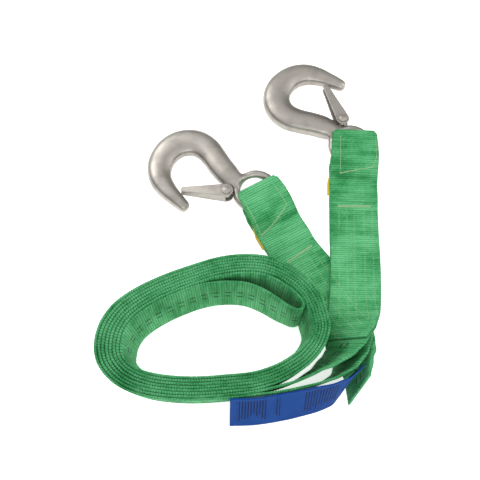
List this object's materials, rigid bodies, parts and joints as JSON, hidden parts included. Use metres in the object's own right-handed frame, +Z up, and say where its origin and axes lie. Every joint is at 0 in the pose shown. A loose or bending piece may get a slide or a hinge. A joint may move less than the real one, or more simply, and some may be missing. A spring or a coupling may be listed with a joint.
{
  "type": "tow strap",
  "caption": "Flat webbing tow strap folded and rolled into an oval coil on edge, with a forged snap hook in the sewn eye loop at each end.",
  "frame": {"origin": "on the ground under the middle of the whole strap as it lies", "axes": "+Z up from the ground; +Y from the coil towards the hooks; +X to the right seen from the coil's side"},
  "size_m": [0.2738, 0.3916, 0.0513],
  "materials": {
    "webbing_green": "woven, matt",
    "liner_yellow": "woven, matt",
    "label_blue": "satin",
    "zinc_forging": "satin zinc plating",
    "zinc_sheet": "satin zinc plating"
  },
  "bodies": {
    "strap": {"webbing": "webbing_green", "liner_left": "liner_yellow", "liner_right": "liner_yellow", "label": "label_blue"},
    "hook_left": {"hook_left": "zinc_forging", "rivet_left": "zinc_sheet", "spring_left": "zinc_sheet"},
    "latch_left": {"latch_left": "zinc_sheet"},
    "hook_right": {"hook_right": "zinc_forging", "rivet_right": "zinc_sheet", "spring_right": "zinc_sheet"},
    "latch_right": {"latch_right": "zinc_sheet"}
  },
  "joints": [
    {"name": "left_hook_swivel", "type": "hinge", "parent": "strap", "child": "hook_left", "pos_m": [0.01237, 0.03882, 0.009], "axis": [0, 0, 1], "range_deg": [-35, 12]},
    {"name": "left_latch_hinge", "type": "hinge", "parent": "hook_left", "child": "latch_left", "pos_m": [-0.0205, 0.03871, 0.009], "axis": [0, 0, -1], "range_deg": [0, 34], "stiffness_Nm_per_rad": 0.05, "springref_deg": -11.46},
    {"name": "right_hook_swivel", "type": "hinge", "parent": "strap", "child": "hook_right", "pos_m": [0.11287, 0.09282, 0.009], "axis": [0, 0, 1], "range_deg": [-88, 12]},
    {"name": "right_latch_hinge", "type": "hinge", "parent": "hook_right", "child": "latch_right", "pos_m": [0.10283, 0.12412, 0.009], "axis": [0, 0, 1], "range_deg": [0, 34], "stiffness_Nm_per_rad": 0.05, "springref_deg": -11.46}
  ]
}
